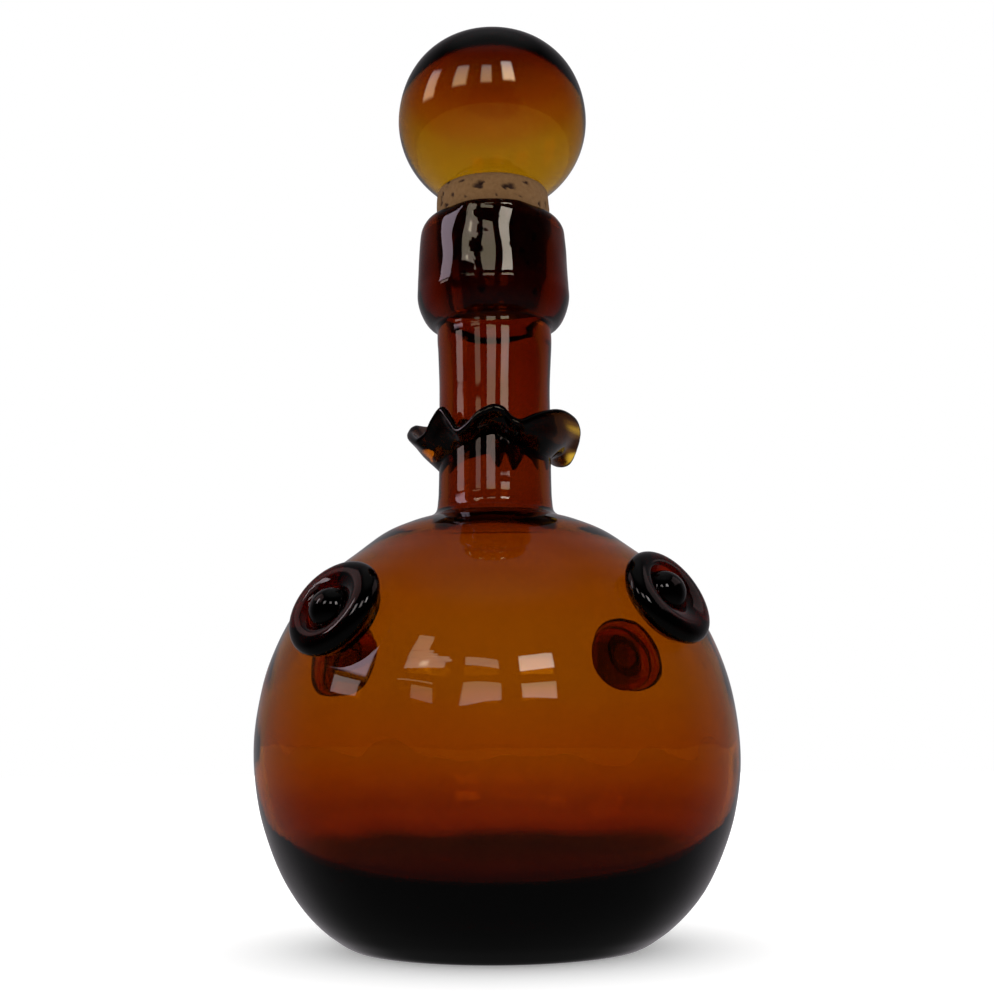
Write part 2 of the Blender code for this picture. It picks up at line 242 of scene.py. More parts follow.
def glass(name, stops, low, high, absorb, streak=0.06, waviness=0.02,
          ripple=(160.0, 160.0, 60.0), patches=()):
    """Coloured glass: a tint by height with faint cords in it, absorption
    (per mm: red, green, blue) for thickness, and slow surface ripples.
    patches are places with a tint of their own: four limits along X, Y and
    Z, then the tint."""
    n = Nodes(name)
    n.set(Roughness=0.0, IOR=1.5, Metallic=0.0)
    n.bsdf.inputs["Transmission Weight"].default_value = 1.0
    obj, z = n.height()
    # cords: stretched noise that shifts the height slightly and the depth
    maps = n.new("ShaderNodeMapping")
    maps.inputs["Scale"].default_value = ripple
    n.link(obj, maps.inputs["Vector"])
    noise = n.new("ShaderNodeTexNoise")
    noise.inputs["Scale"].default_value = 0.35
    noise.inputs["Detail"].default_value = 2.0
    n.link(maps.outputs["Vector"], noise.inputs["Vector"])
    shift = n.new("ShaderNodeMath", operation="MULTIPLY_ADD")
    shift.inputs[1].default_value = 0.006
    n.link(noise.outputs["Fac"], shift.inputs[0])
    n.link(z, shift.inputs[2])
    off = n.new("ShaderNodeMath", operation="SUBTRACT")
    off.inputs[1].default_value = 0.003
    n.link(shift.outputs[0], off.inputs[0])
    colour = ramp(n, off.outputs[0], stops, low, high)
    depth = n.new("ShaderNodeMapRange")
    depth.inputs["To Min"].default_value = 1.0 - streak
    depth.inputs["To Max"].default_value = 1.0 + streak
    n.link(noise.outputs["Fac"], depth.inputs["Value"])
    mix = n.new("ShaderNodeVectorMath", operation="SCALE")
    n.link(colour, mix.inputs[0])
    n.link(depth.outputs["Result"], mix.inputs["Scale"])
    tint = mix.outputs["Vector"]

    def over(mask, colour, under):
        node = n.new("ShaderNodeMix", data_type="RGBA")
        n.link(mask, node.inputs["Factor"])
        n.link(under, node.inputs["A"])
        node.inputs["B"].default_value = (*colour, 1.0)
        return node.outputs["Result"]

    axes = n.new("ShaderNodeSeparateXYZ")
    n.link(obj, axes.inputs[0])
    for *limits, colour in patches:
        mask = None
        for key, (a, b, c, d) in zip("XYZ", limits):
            part = window_mask(n, axes.outputs[key], a, b, c, d)
            if mask is not None:
                both = n.new("ShaderNodeMath", operation="MULTIPLY")
                n.link(mask, both.inputs[0])
                n.link(part, both.inputs[1])
                part = both.outputs[0]
            mask = part
        tint = over(mask, colour, tint)
    n.link(tint, n.bsdf.inputs["Base Color"])
    if waviness:
        slow = n.new("ShaderNodeTexNoise")
        slow.inputs["Scale"].default_value = 0.9
        slow.inputs["Detail"].default_value = 1.0
        n.link(maps.outputs["Vector"], slow.inputs["Vector"])
        bump = n.new("ShaderNodeBump")
        bump.inputs["Strength"].default_value = waviness
        bump.inputs["Distance"].default_value = 0.001
        n.link(slow.outputs["Fac"], bump.inputs["Height"])
        n.link(bump.outputs["Normal"], n.bsdf.inputs["Normal"])
    if absorb:
        most = max(absorb)
        vol = n.new("ShaderNodeVolumeAbsorption")
        vol.inputs["Color"].default_value = (
            *[1.0 - a / most for a in absorb], 1.0)
        vol.inputs["Density"].default_value = most * 1000.0
        n.link(vol.outputs["Volume"], n.out.inputs["Volume"])
    return n.mat


BODY = (0.535, 0.300, 0.062)
NECK = (0.395, 0.13, 0.05)
amber = glass(
    "amber_glass",
    [(0.000, (0.010, 0.004, 0.004)), (0.010, (0.035, 0.014, 0.008)),
     (0.0155, (0.025, 0.014, 0.009)), (0.0197, (0.22, 0.07, 0.020)),
     (0.0225, (0.42, 0.135, 0.027)), (0.0270, (0.47, 0.16, 0.028)),
     (0.0325, (0.420, 0.150, 0.029)), (0.037, (0.452, 0.172, 0.033)),
     (0.043, (0.520, 0.237, 0.044)), (0.050, (0.532, 0.275, 0.055)),
     (0.060, BODY), (0.067, (0.551, 0.335, 0.062)),
     (0.078, (0.570, 0.352, 0.062)), (0.091, (0.592, 0.372, 0.062)),
     (0.098, (0.585, 0.355, 0.064)), (0.104, (0.52, 0.275, 0.062)),
     (0.108, (0.49, 0.235, 0.06)), (0.1115, (0.47, 0.205, 0.057)),
     (0.1155, (0.36, 0.13, 0.05)),
     (0.124, (0.39, 0.155, 0.085)), (0.140, (0.39, 0.15, 0.08)),
     (0.150, NECK), (0.165, (0.36, 0.12, 0.05)),
     (0.172, (0.39, 0.14, 0.057)), (0.179, (0.41, 0.15, 0.062)),
     (0.186, (0.235, 0.088, 0.055)), (0.203, (0.19, 0.07, 0.05))],
    0.0, 0.205, (0.073, 0.18, 0.60),
    # painted shade: a near-black band where the neck meets the bulb, on the
    # front half only
    patches=[((-0.0172, -0.0156, 0.0156, 0.0172),
              (-0.050, -0.045, -0.005, -0.002),
              (0.1083, 0.1089, 0.1133, 0.1139), (0.016, 0.008, 0.006))])
thick = glass(
    "amber_glass_thick",
    [(0.0, (0.026, 0.009, 0.007)), (0.2, (0.026, 0.009, 0.007))],
    0.0, 0.2, (0.05, 0.12, 0.50), waviness=0.0,
    # thin ends of the trail
    patches=[((-0.0215, -0.0200, -0.0148, -0.0135),
              (-0.030, -0.028, 0.010, 0.014),
              (0.1250, 0.1265, 0.1322, 0.1335), (0.55, 0.25, 0.12)),
             ((0.0185, 0.0215, 0.030, 0.032), (-0.030, -0.028, 0.028, 0.030),
              (0.1378, 0.1391, 0.1399, 0.1408), (0.36, 0.23, 0.036)),
             ((0.0197, 0.0218, 0.030, 0.032), (-0.030, -0.028, 0.028, 0.030),
              (0.1308, 0.1323, 0.1340, 0.1353), (0.62, 0.42, 0.08))])
# tint for the painted shade on the front buttons' lower and inner sides, and
# for their thick domes
PAINTED_SHADE_AND_DOME = (0.10, 0.03, 0.022)
EVERY = (-1.0, -0.9, 0.9, 1.0)
button = glass(
    "amber_glass_buttons",
    [(0.0, (0.55, 0.36, 0.28)), (0.2, (0.55, 0.36, 0.28))],
    0.0, 0.2, (0.23, 0.62, 1.0), waviness=0.0,
    # painted shade: the lower and inward-facing sides of the two front buttons
    # are tinted dark; the thick domes are dark as well
    patches=[((-0.038, -0.034, 0.038, 0.042), EVERY, EVERY, PAINTED_SHADE_AND_DOME),
             (EVERY, EVERY, (0.0, 0.001, 0.0755, 0.0795), PAINTED_SHADE_AND_DOME),
             ((-0.0465, -0.0448, -0.0362, -0.0345), EVERY,
              (0.0800, 0.0815, 0.0895, 0.0910), PAINTED_SHADE_AND_DOME),
             ((0.0405, 0.0422, 0.0505, 0.0522), EVERY,
              (0.0830, 0.0850, 0.0930, 0.0945), PAINTED_SHADE_AND_DOME)])
button_back = glass(
    "amber_glass_back_buttons",
    [(0.0, (0.90, 0.62, 0.34)), (0.2, (0.90, 0.62, 0.34))],
    0.0, 0.2, (0.11, 0.28, 0.9), waviness=0.0,
    patches=[((0.0316, 0.0328, 0.0440, 0.0455), EVERY,
              (0.0705, 0.0720, 0.0858, 0.0873), (0.20, 0.34, 0.3)),
             ((-0.0530, -0.0515, -0.0390, -0.0375), EVERY,
              (0.0690, 0.0705, 0.0830, 0.0850), (0.20, 0.30, 0.3))])
honey = glass(
    "honey_glass",
    [(0.200, (0.585, 0.49, 0.07)), (0.218, (0.585, 0.485, 0.065)),
     (0.226, (0.555, 0.42, 0.060)), (0.234, (0.51, 0.345, 0.052)),
     (0.243, (0.448, 0.19, 0.042)), (0.250, (0.387, 0.126, 0.04)),
     (0.2545, (0.325, 0.130, 0.045)), (0.2575, (0.21, 0.115, 0.05)),
     (0.262, (0.18, 0.11, 0.05))],
    0.2, 0.262, (0.12, 0.38, 1.0), waviness=0.01)


def cork_material():
    n = Nodes("cork")
    n.set(Roughness=0.85, Metallic=0.0)
    n.bsdf.inputs["Specular IOR Level"].default_value = 0.25
    obj, z = n.height()
    grain = n.new("ShaderNodeTexNoise")
    grain.inputs["Scale"].default_value = 900.0
    grain.inputs["Detail"].default_value = 6.0
    grain.inputs["Roughness"].default_value = 0.65
    n.link(obj, grain.inputs["Vector"])
    col = ramp(n, grain.outputs["Fac"],
               [(0.25, (0.125, 0.062, 0.022)), (0.45, (0.168, 0.084, 0.030)),
                (0.62, (0.186, 0.095, 0.036)), (0.8, (0.216, 0.116, 0.048))],
               0.0, 1.0)
    # lenticels: dark brown channels
    stretch = n.new("ShaderNodeMapping")
    stretch.inputs["Scale"].default_value = (1.0, 1.0, 0.6)
    n.link(obj, stretch.inputs["Vector"])
    pores = n.new("ShaderNodeTexVoronoi")
    pores.inputs["Scale"].default_value = 170.0
    pores.inputs["Randomness"].default_value = 1.0
    n.link(stretch.outputs["Vector"], pores.inputs["Vector"])
    wobble = n.new("ShaderNodeTexNoise")
    wobble.inputs["Scale"].default_value = 700.0
    n.link(obj, wobble.inputs["Vector"])
    add = n.new("ShaderNodeMath", operation="MULTIPLY_ADD")
    add.inputs[1].default_value = 0.35
    n.link(wobble.outputs["Fac"], add.inputs[0])
    n.link(pores.outputs["Distance"], add.inputs[2])
    mask = n.new("ShaderNodeMapRange")
    mask.inputs["From Min"].default_value = 0.24
    mask.inputs["From Max"].default_value = 0.34
    mask.inputs["To Min"].default_value = 1.0
    mask.inputs["To Max"].default_value = 0.0
    n.link(add.outputs[0], mask.inputs["Value"])
    # holes drawn in the mesh carry a mark of their own
    hole = n.new("ShaderNodeAttribute", attribute_name="pore")
    most = n.new("ShaderNodeMath", operation="MAXIMUM")
    n.link(mask.outputs["Result"], most.inputs[0])
    n.link(hole.outputs["Fac"], most.inputs[1])
    mix = n.new("ShaderNodeMix", data_type="RGBA")
    mix.inputs["B"].default_value = (0.030, 0.011, 0.005, 1.0)
    n.link(most.outputs[0], mix.inputs["Factor"])
    n.link(col, mix.inputs["A"])
    n.link(mix.outputs["Result"], n.bsdf.inputs["Base Color"])
    bump = n.new("ShaderNodeBump")
    bump.inputs["Strength"].default_value = 0.6
    bump.inputs["Distance"].default_value = 0.0003
    n.link(grain.outputs["Fac"], bump.inputs["Height"])
    n.link(bump.outputs["Normal"], n.bsdf.inputs["Normal"])
    return n.mat


cork_mat = cork_material()

# ------------------------------------------------------------------ bottle
OUTLINE = [
    (38.9, 0.0), (40.4, 0.7), (43.0, 2.4), (46.5, 5.1),
    (52.9, 12.0), (57.9, 20.2), (62.1, 31.0), (64.4, 41.5),
    (65.0, 50.5), (64.2, 61.0), (61.5, 73.0), (56.3, 85.0),
    (50.6, 93.0), (44.5, 99.0), (38.1, 104.0), (31.1, 109.05),
    (24.45, 112.1), (18.3, 114.3), (16.4, 116.0), (15.8, 119.2),
    (15.6, 124.0), (15.5, 140.0), (15.45, 152.0), (15.7, 159.0),
    (16.0, 165.0), (16.35, 170.0), (17.8, 170.4), (19.3, 172.0),
    (20.7, 174.8), (21.5, 178.0), (21.55, 181.0), (21.1, 188.5),
    (20.75, 194.5), (20.45, 198.0), (20.1, 199.1), (19.45, 200.25),
    (18.8, 200.95), (18.0, 201.4), (17.4, 201.62), (16.9, 201.75),
]


def wall_thickness(z):
    """Glass between outside and inside at a height: heavy towards the
    base, thin round the bulb, even up the neck."""
    return float(np.interp(z, [20, 30, 42, 60, 90, 105, 113, 117, 166],
                           [4.6, 2.8, 2.2, 1.95, 2.2, 2.1, 2.1, 2.9, 3.3]))


def inside_at(z):
    """Point of the inner skin opposite the outline's point at z."""
    line = smooth_line(OUTLINE, 0.4)
    line = line[line[:, 1] < 168.5]
    k = int(np.argmin(np.abs(line[:, 1] - z)))
    d = line[min(k + 3, len(line) - 1)] - line[max(k - 3, 0)]
    d /= np.linalg.norm(d)
    t = wall_thickness(z)
    return (line[k, 0] - d[1] * t, line[k, 1] + d[0] * t)


INSIDE = [(0.0, 11.0), (20.0, 11.4), (36.0, 12.9), (46.0, 16.3)]
INSIDE += [inside_at(z) for z in (
    20, 30, 41, 50.5, 61, 72, 82, 90, 97, 103, 107.5, 111, 113.6, 116.4,
    120, 127, 138, 150, 160)]
INSIDE += [(12.85, 168.0), (13.9, 172.6), (14.32, 174.6), (15.2, 186.0),
           (16.32, 200.4), (16.52, 201.4), (16.9, 201.75)]


def grown(line):
    """The outside with the last fraction of a millimetre that the turned
    outline leaves out, moved along its own normal."""
    d = np.gradient(line, axis=0)
    d /= np.linalg.norm(d, axis=1)[:, None]
    more = np.interp(line[:, 1], [0, 8, 110, 116, 166, 172, 181, 190, 198,
                                  201.6],
                     [0, 0.25, 0.3, 0.2, 0.25, 0.35, 0.15, 0.28, 0.28, 0])
    return line + np.stack([d[:, 1], -d[:, 0]], 1) * more[:, None]


outer = grown(smooth_line(OUTLINE, 0.9))
inner = smooth_line(INSIDE, 1.1)
punt = smooth_line([(0.0, 3.0), (7.0, 2.75), (13.5, 2.0), (19.0, 1.05),
                    (24.0, 0.15), (25.5, 0.0)], 1.6)
profile = np.vstack([inner[:-1], outer[::-1], punt[::-1]])
n_inner = len(inner) - 1
n_outer = len(outer)

body_wave = waves(11, 9, 5, 60.0)
neck_wave = waves(12, 8, 7, 45.0)
collar_wave = waves(13, 14, 9, 13.0)
ring_wave = waves(14, 6, 2, 5.5)
inner_wave = waves(15, 10, 6, 35.0)
fine_wave = waves(16, 10, 24, 16.0)


def bottle_uneven(A, S, R, Z):
    outside = (S >= n_inner) & (S < n_inner + n_outer)
    inside = S < n_inner
    collar = smooth_step(Z, 172, 178) * (1 - smooth_step(Z, 198, 201.4))
    neck = smooth_step(Z, 114, 120) * (1 - smooth_step(Z, 166, 171))
    body = smooth_step(Z, 3, 14) * (1 - smooth_step(Z, 108, 114))
    d = 0.10 * body * body_wave(A, Z) + 0.05 * neck * neck_wave(A, Z)
    d = d + 0.045 * body * fine_wave(A, Z)
    # the mouth stands steeper in front, up to a rounder lip
    front = 1 - smooth_step(np.abs(np.degrees(
        (A + math.pi) % (2 * math.pi) - math.pi)), 15, 40)
    steep = np.interp(Z, [190, 191.5, 195, 198, 200, 200.6, 201.1, 201.5,
                          201.75],
                      [21.29, 21.24, 21.17, 21.10, 21.05, 20.75, 20.1, 19.0,
                       16.9])
    d = d + front * np.where(Z > 190, steep - R, 0.0)
    d = d + 0.13 * collar * collar_wave(A, Z) + 0.05 * collar * ring_wave(
        A, Z)
    # inside, the bulb follows the outside and is a little thicker behind
    e = body * (0.10 * body_wave(A, Z) + 0.04 * inner_wave(A, Z)
                + 0.2 * np.cos(A))
    e = e + 0.16 * neck * inner_wave(A + 1.0, Z)
    # hand-made: the piece leans a little to either side on its way up
    lean = np.sin(A) * np.interp(
        Z, [3, 14, 32, 46, 60, 95, 103, 110, 116, 128, 150, 163, 171, 176,
            184, 200],
        [0, 0.3, 0.3, 0.12, 0, 0.05, 0.3, 0, 0.05, 0.1, 0.15, 0.28, 0.1, 0,
         -0.15, -0.15])
    lean = np.where(outside | (Z < 165), lean, 0.0)
    return (np.where(outside, d, np.where(inside, e, 0.0)) + lean,
            np.zeros_like(d))


bottle = turned("bottle_glass", profile, 160, amber, bottle_uneven)
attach(bottle, "bottle_body")
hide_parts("bottle")

# -------------------------------------------------------------- ball, cork
BALL_R, BALL_H, BALL_Z = 27.56, 26.42, 232.76
STEM_R, STEM_BORE_R, STEM_LOW_Z = 6.0, 3.8, 192.0
SHELL, CROWN = 0.55, 3.9         # ball wall at the sides, at the top


def shouldered(line):
    """The upper half is a little squarer than an ellipse."""
    q = np.degrees(np.arctan2(line[:, 1] - BALL_Z, np.maximum(
        line[:, 0], 1e-9)))
    more = 0.45 * smooth_step(q, 5, 40) * (1 - smooth_step(q, 45, 78))
    c = np.radians(q)
    return line + np.stack([np.cos(c), np.sin(c)], 1) * more[:, None]


def cavity(start, end, n):
    """Inner skin of the ball between two angles of its outline."""
    a = np.radians(np.linspace(start, end, n + 1))
    t = SHELL + (CROWN - SHELL) * smooth_step(np.degrees(a), 8.0, 84.0)
    return shouldered(np.stack([(BALL_R - t) * np.cos(a),
                                BALL_Z + (BALL_H - t) * np.sin(a)], 1))


join = math.degrees(math.asin(-math.sqrt(1 - (STEM_R / BALL_R) ** 2)))
bore_join = math.degrees(math.asin(
    -math.sqrt(1 - (STEM_BORE_R / (BALL_R - SHELL)) ** 2)))
ball_profile = np.vstack([
    shouldered(arc(0, BALL_Z, BALL_R, BALL_H, 90.0, join, 90)),
    smooth_line([(STEM_R, 205.0), (STEM_R, 200.0), (STEM_R, 192.4)], 1.5),
    [(5.6, 192.0), (4.2, 192.0), (3.8, 192.4)],
    smooth_line([(3.8, 200.0), (3.8, 206.0)], 1.5),
    cavity(bore_join, 90.0, 84),
])
ball_profile[0, 0] = 0.0
ball_profile[-1, 0] = 0.0
ball_wave = waves(21, 8, 3, 40.0)
cavity_wave = waves(22, 8, 4, 30.0)


def ball_uneven(A, S, R, Z):
    part = smooth_step(R, 6.5, 14.0)
    out = S <= 90
    d = np.where(out, 0.06 * ball_wave(A, Z), 0.11 * cavity_wave(A, Z))
    return part * d, np.zeros_like(d)


ball = turned("stopper_ball_glass", ball_profile, 128, honey, ball_uneven)
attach(ball, "stopper")
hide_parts("stopper_ball")

cork_side = smooth_line([
    (15.05, 210.3), (15.35, 210.72), (15.7, 210.55), (16.0, 210.0),
    (16.15, 209.2), (16.35, 206.0), (16.35, 203.5), (16.15, 201.6),
    (15.0, 187.5),
    (14.1, 175.4), (13.85, 174.5), (13.3, 174.05), (12.6, 174.0)], 0.45)
cork_profile = np.vstack([
    [(0.0, 189.0), (5.0, 189.0), (6.3, 189.0), (6.3, 197.0), (6.3, 205.2)],
    smooth_line([(6.6, 205.5), (9.0, 206.25), (12.4, 208.0),
                 (14.4, 209.6)], 0.8),
    cork_side,
    [(9.0, 174.0), (4.0, 174.0), (0.0, 174.0)],
])
cork_lo = 5 + len(smooth_line([(6.6, 205.5), (9.0, 206.25), (12.4, 208.0),
                               (14.4, 209.6)], 0.8))
cork_wave = waves(31, 12, 9, 9.0)
cork_fine = waves(32, 26, 60, 1.6)
# pores of the cork: azimuth, height, half width, half height, depth (mm)
rng = np.random.default_rng(33)
PORES = [(-14.5, 206.9, 1.5, 1.2, 1.0), (-12.0, 207.6, 1.0, 0.7, 0.8),
         (17.0, 206.6, 1.9, 0.85, 1.0), (12.0, 206.1, 0.9, 0.6, 0.8),
         (-66.0, 205.6, 0.8, 1.7, 0.8), (-62.0, 207.6, 0.6, 0.8, 0.6),
         (36.0, 208.6, 1.0, 0.5, 0.6), (-33.0, 209.0, 1.0, 0.4, 0.5),
         (-55.0, 203.4, 1.0, 0.7, 0.6), (55.0, 203.6, 0.7, 0.8, 0.6),
         (68.0, 204.8, 0.5, 1.0, 0.5), (-44.0, 205.4, 0.4, 1.0, 0.4),
         (-28.0, 204.2, 0.3, 0.8, 0.3), (4.0, 203.6, 0.4, 0.5, 0.3),
         (28.0, 203.8, 0.5, 0.3, 0.3)]
for i in range(60):
    a = rng.uniform(80, 280)
    PORES.append((a, rng.uniform(176, 209), rng.uniform(0.3, 1.4),
                  rng.uniform(0.25, 0.9), rng.uniform(0.3, 0.8)))
for i in range(24):
    PORES.append((rng.uniform(-80, 80), rng.uniform(176, 201),
                  rng.uniform(0.4, 1.5), rng.uniform(0.3, 0.9),
                  rng.uniform(0.4, 0.8)))
pore_field = {}


def cork_uneven(A, S, R, Z):
    side = smooth_step(S, cork_lo + 2, cork_lo + 5) * (
        1 - smooth_step(S, cork_lo + len(cork_side) - 5,
                        cork_lo + len(cork_side) - 2))
    d = 0.10 * cork_wave(A, Z) + 0.035 * cork_fine(A, Z)
    mark = np.zeros_like(R)
    for a, z, w, h, deep in PORES:
        da = (A - math.radians(a) + math.pi) % (2 * math.pi) - math.pi
        u = da * 15.5 / w
        v = (Z - z) / h
        wob = 0.25 * np.sin(3 * np.arctan2(v, u) + a) + 1.0
        q = np.sqrt(u * u + v * v) / wob
        hole = 1 - smooth_step(q, 0.6, 1.1)
        mark = np.maximum(mark, hole * side)
        d = d - deep * hole * 0.7
    pore_field["mark"] = mark
    return side * np.minimum(d, 0.22), np.zeros_like(d)


cork = turned("stopper_cork_grain", cork_profile, 200, cork_mat, cork_uneven)
mark = pore_field["mark"].reshape(-1)
attr = cork.data.attributes.new("pore", "FLOAT", "POINT")
values = np.zeros(len(cork.data.vertices), np.float32)
values[:len(mark)] = mark
attr.data.foreach_set("value", values)
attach(cork, "stopper")
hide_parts("stopper_cork")

# ------------------------------------------------------------ button prunts
wall = grown(smooth_line(OUTLINE, 0.5))
wall = wall[wall[:, 1] < 113.0]


def wall_radius(z):
    return np.interp(z, wall[:, 1], wall[:, 0])


def wall_normal(z):
    slope = float(wall_radius(z + 0.5) - wall_radius(z - 0.5))
    n = np.array([1.0, -slope])
    return n / np.linalg.norm(n)


SINK = 0.25   # how far the buttons are melted into the wall


def prunt(name, node, azimuth, height, lift, size, knob, seed, mat):
    """knob: how far the dome sits from the rim's centre, sideways and up
    in the button's own plane."""
    dome_r, rim_z = 5.9, 3.1
    rim_x = (size - 6.04) / 1.906
    rim_u = size - rim_x
    n = wall_normal(height)
    az = math.radians(azimuth)
    out = np.array([math.sin(az), -math.cos(az), 0.0])
    normal = out * n[0] + np.array([0, 0, 1.0]) * n[1]
    side = np.array([math.cos(az), math.sin(az), 0.0])
    up = np.cross(normal, side)
    centre = out * float(wall_radius(height)) + np.array([0, 0, height])
    seg = 96
    ang = np.linspace(0, 2 * math.pi, seg, endpoint=False)

    def seat(u):
        """Height of the wall over the button's own plane, per angle."""
        lo = np.full(seg, -9.0)
        hi = np.full(seg, 3.0)
        flat = (centre[None] + u * (np.cos(ang)[:, None] * side
                                    + np.sin(ang)[:, None] * up))
        for _ in range(30):
            mid = (lo + hi) / 2
            p = flat + mid[:, None] * normal
            inside = np.hypot(p[:, 0], p[:, 1]) < wall_radius(p[:, 2])
            lo, hi = np.where(inside, mid, lo), np.where(inside, hi, mid)
        return (lo + hi) / 2 - SINK

    top = [(0.0, lift + dome_r - 0.4)]
    top += [tuple(p) for p in arc(0, lift - 0.4, dome_r, dome_r,
                                  86.0, 14.0, 22)]
    top += [(5.88, lift + 0.76), (6.06, lift + 0.86)]
    top += [tuple(p) for p in arc(rim_u, lift, rim_x, rim_z,
                                  155.0, -52.0, 44)]
    top = np.array(top)
    rng = np.random.default_rng(seed)
    p1, p2, p3 = rng.uniform(0, 2 * math.pi, 3)
    rows = []
    base_u = 10.8
    foot = seat(base_u)
    for u, h in top[1:]:
        w = smooth_step(u, 5.9, 8.5)
        grow = 1 + w * (0.018 * np.cos(2 * ang + p1)
                        + 0.012 * np.cos(3 * ang + p2))
        lift_more = w * (0.22 * np.cos(ang + p3) + 0.12 * np.cos(
            2 * ang + p1))
        rows.append((u * grow, h + lift_more))
    u_end, h_end = rows[-1]
    for k in range(1, 7):
        t = k / 6
        bulge = math.sin(math.pi * t) * -0.25
        rows.append((u_end + (base_u - u_end) * t + bulge,
                     h_end + (foot - h_end) * t))
    for u in (9.5, 7.5, 5.5, 3.5, 1.5):
        rows.append((np.full(seg, u), seat(u)))
    verts = []
    n_top = len(top) - 1
    for i, (u, h) in enumerate(rows):
        off = (1 - smooth_step(u, 5.9, 9.0)) if i < n_top else 0.0
        p = (centre[None]
             + (u * np.cos(ang) + knob[0] * off)[:, None] * side
             + (u * np.sin(ang) + knob[1] * off)[:, None] * up
             + (h * np.ones(seg))[:, None] * normal)
        verts.append(p)
    m = len(verts)
    verts = np.concatenate(verts) * MM
    verts = verts.tolist()
    faces = []
    for k in range(m - 1):
        for i in range(seg):
            j = (i + 1) % seg
            faces.append((k * seg + i, k * seg + j,
                          (k + 1) * seg + j, (k + 1) * seg + i))
    a = len(verts)
    verts.append(tuple((centre + normal * top[0, 1] + side * knob[0]
                        + up * knob[1]) * MM))
    verts.append(tuple((centre + normal * float(seat(0.0)[0])) * MM))
    for i in range(seg):
        j = (i + 1) % seg
        faces.append((a, j, i))
        faces.append((a + 1, (m - 1) * seg + i, (m - 1) * seg + j))
    ob = mesh_object(name, verts, faces, mat)
    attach(ob, "bottle_body")
    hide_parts(node)
    return ob


buttons = [
    prunt("prunt_front_left_glass", "prunt_front_left", -40.6, 83.4, 3.6,
          13.5, (-0.45, -0.75), 41, button),
    prunt("prunt_front_right_glass", "prunt_front_right", 47.8, 86.5, 2.6,
          13.6, (-0.6, 1.2), 42, button),
    prunt("prunt_back_right_glass", "prunt_back_right", 138.0, 79.4, 3.9,
          13.0, (0.3, 0.2), 43, button_back),
    prunt("prunt_back_left_glass", "prunt_back_left", -130.0, 78.0, 3.9,
          13.0, (-0.2, 0.4), 44, button_back),
]

# -------------------------------------------------------------- wavy collar
# free edge: azimuth, radius, height; height of the root; half thickness
RUFFLE = [
    (-92, 24.6, 138.9, 130.6, 1.15), (-72, 22.7, 135.7, 132.0, 1.25),
    (-64, 21.5, 136.9, 132.6, 1.35), (-56, 20.9, 140.3, 133.2, 1.4),
    (-46, 20.7, 142.6, 134.0, 1.4), (-37, 20.6, 139.2, 134.8, 1.5),
    (-29, 20.9, 136.0, 135.4, 1.5), (-22, 21.1, 136.8, 136.0, 1.4),
    (-12.4, 21.1, 140.0, 136.9, 1.35), (-1, 21.1, 141.7, 137.4, 1.3),
    (6.6, 20.8, 141.2, 136.8, 1.35), (14, 20.5, 138.7, 135.8, 1.5),
    (20, 20.7, 137.8, 135.2, 1.5), (32, 20.9, 139.6, 134.6, 1.4),
    (46, 21.3, 141.4, 133.8, 1.35), (59, 22.2, 142.3, 133.3, 1.2),
    (76, 23.5, 141.5, 133.2, 0.95), (90, 24.3, 139.4, 133.6, 0.8),
    (102, 24.2, 136.0, 134.2, 0.8), (114, 23.6, 132.6, 135.0, 0.95),
    (126, 22.3, 133.6, 136.4, 1.2), (138, 21.4, 139.0, 138.0, 1.3),
    (150, 22.2, 136.0, 138.6, 1.5), (160, 22.8, 133.6, 138.6, 1.5),
    (169, 21.4, 138.6, 139.0, 1.4), (178, 22.6, 134.8, 138.8, 1.5),
    (187, 22.2, 138.0, 138.6, 1.4), (200, 21.2, 144.4, 138.2, 1.3),
    (216, 21.4, 146.0, 136.8, 1.3), (230, 22.2, 143.6, 134.8, 1.3),
    (244, 23.4, 142.6, 132.4, 1.2), (256, 24.3, 142.0, 131.0, 1.1),
]


def closed_curve(points, n):
    m = len(points)
    dense = []
    for i in range(m):
        p0, p1, p2, p3 = (points[(i + k - 1) % m] for k in range(4))
        t1 = np.linalg.norm(p1 - p0) ** 0.5
        t2 = t1 + np.linalg.norm(p2 - p1) ** 0.5
        t3 = t2 + np.linalg.norm(p3 - p2) ** 0.5
        for k in range(24):
            t = t1 + (t2 - t1) * k / 24
            a1 = (t1 - t) / t1 * p0 + t / t1 * p1
            a2 = (t2 - t) / (t2 - t1) * p1 + (t - t1) / (t2 - t1) * p2
            a3 = (t3 - t) / (t3 - t2) * p2 + (t - t2) / (t3 - t2) * p3
            b1 = (t2 - t) / t2 * a1 + t / t2 * a2
            b2 = (t3 - t) / (t3 - t1) * a2 + (t - t1) / (t3 - t1) * a3
            dense.append((t2 - t) / (t2 - t1) * b1
                         + (t - t1) / (t2 - t1) * b2)
    dense = np.array(dense + [dense[0]])
    run = np.concatenate([[0.0], np.cumsum(
        np.linalg.norm(np.diff(dense[:, :3], axis=0), axis=1))])
    at = np.linspace(0.0, run[-1], n, endpoint=False)
    return np.stack([np.interp(at, run, dense[:, k])
                     for k in range(dense.shape[1])], 1)


